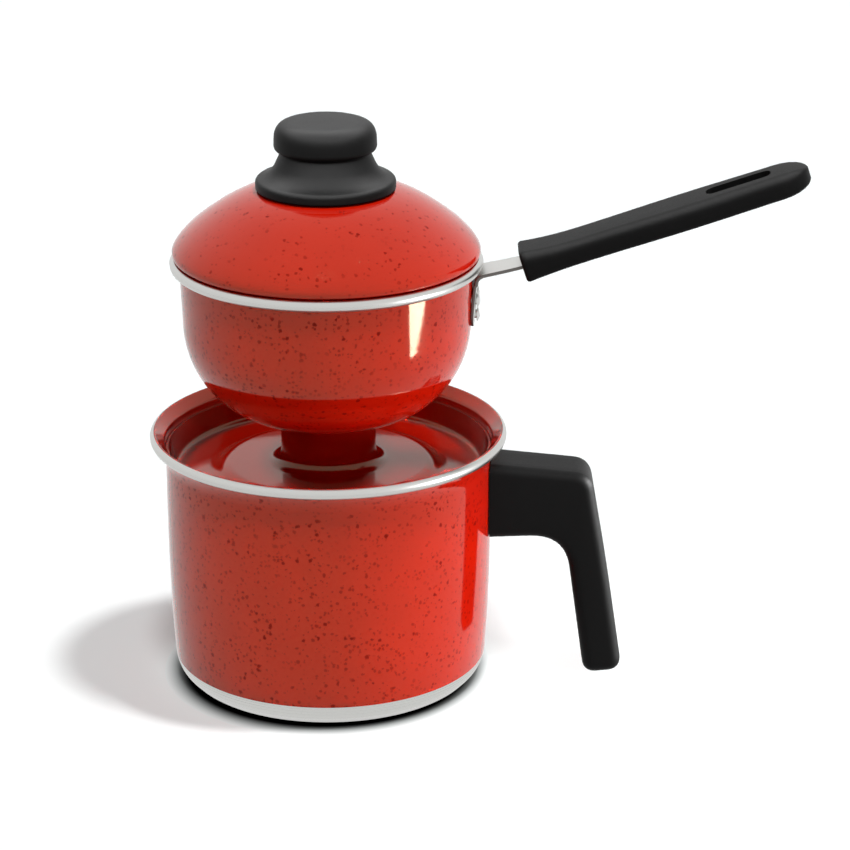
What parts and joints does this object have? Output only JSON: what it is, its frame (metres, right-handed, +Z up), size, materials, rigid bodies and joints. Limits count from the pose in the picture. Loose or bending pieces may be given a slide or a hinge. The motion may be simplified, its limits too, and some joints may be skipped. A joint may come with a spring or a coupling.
{
  "type": "couscous steamer",
  "caption": "Small couscous steamer: boiler mug with a side handle, necked steam plate carrying a long-handled bowl with a loose sieve, and a domed lid with a knob.",
  "frame": {"origin": "centre of the boiler's flat base, on the surface it stands on", "axes": "+Z up along the axis of the pots, +X towards both handles, +Y to the left of the handles"},
  "size_m": [0.2746, 0.1504, 0.2423],
  "materials": {
    "red_coat": "glossy, speckled outside",
    "aluminium": "satin",
    "phenolic": "fine matt grain",
    "zinc_steel": "zinc plated",
    "brass": "turned"
  },
  "bodies": {
    "boiler": {"boiler_pot": "red_coat", "boiler_handle_bracket": "zinc_steel", "boiler_handle_rivet_lower": "aluminium", "boiler_handle_rivet_upper": "aluminium", "boiler_handle_nut": "zinc_steel", "boiler_handle_screw": "zinc_steel", "boiler_handle_grip": "phenolic"},
    "steamer": {"steam_plate": "red_coat", "steamer_bowl": "red_coat", "bowl_handle_strap": "aluminium", "bowl_handle_rivet_left": "aluminium", "bowl_handle_rivet_right": "aluminium", "bowl_handle_rivet_bottom": "aluminium", "bowl_handle_grip": "phenolic", "bowl_handle_screw": "zinc_steel"},
    "sieve": {"sieve_plate": "aluminium"},
    "lid": {"lid_dome": "red_coat", "lid_knob": "phenolic", "knob_insert": "brass", "knob_washer": "aluminium", "knob_screw": "zinc_steel"}
  },
  "joints": [
    {"name": "steamer_lift", "type": "slide", "parent": "boiler", "child": "steamer", "axis": [0, 0, 1], "range_m": [0, 0.08]},
    {"name": "sieve_lift", "type": "slide", "parent": "steamer", "child": "sieve", "axis": [0, 0, 1], "range_m": [0, 0.066]},
    {"name": "lid_lift", "type": "slide", "parent": "steamer", "child": "lid", "axis": [0, 0, 1], "range_m": [0, 0.09]}
  ]
}
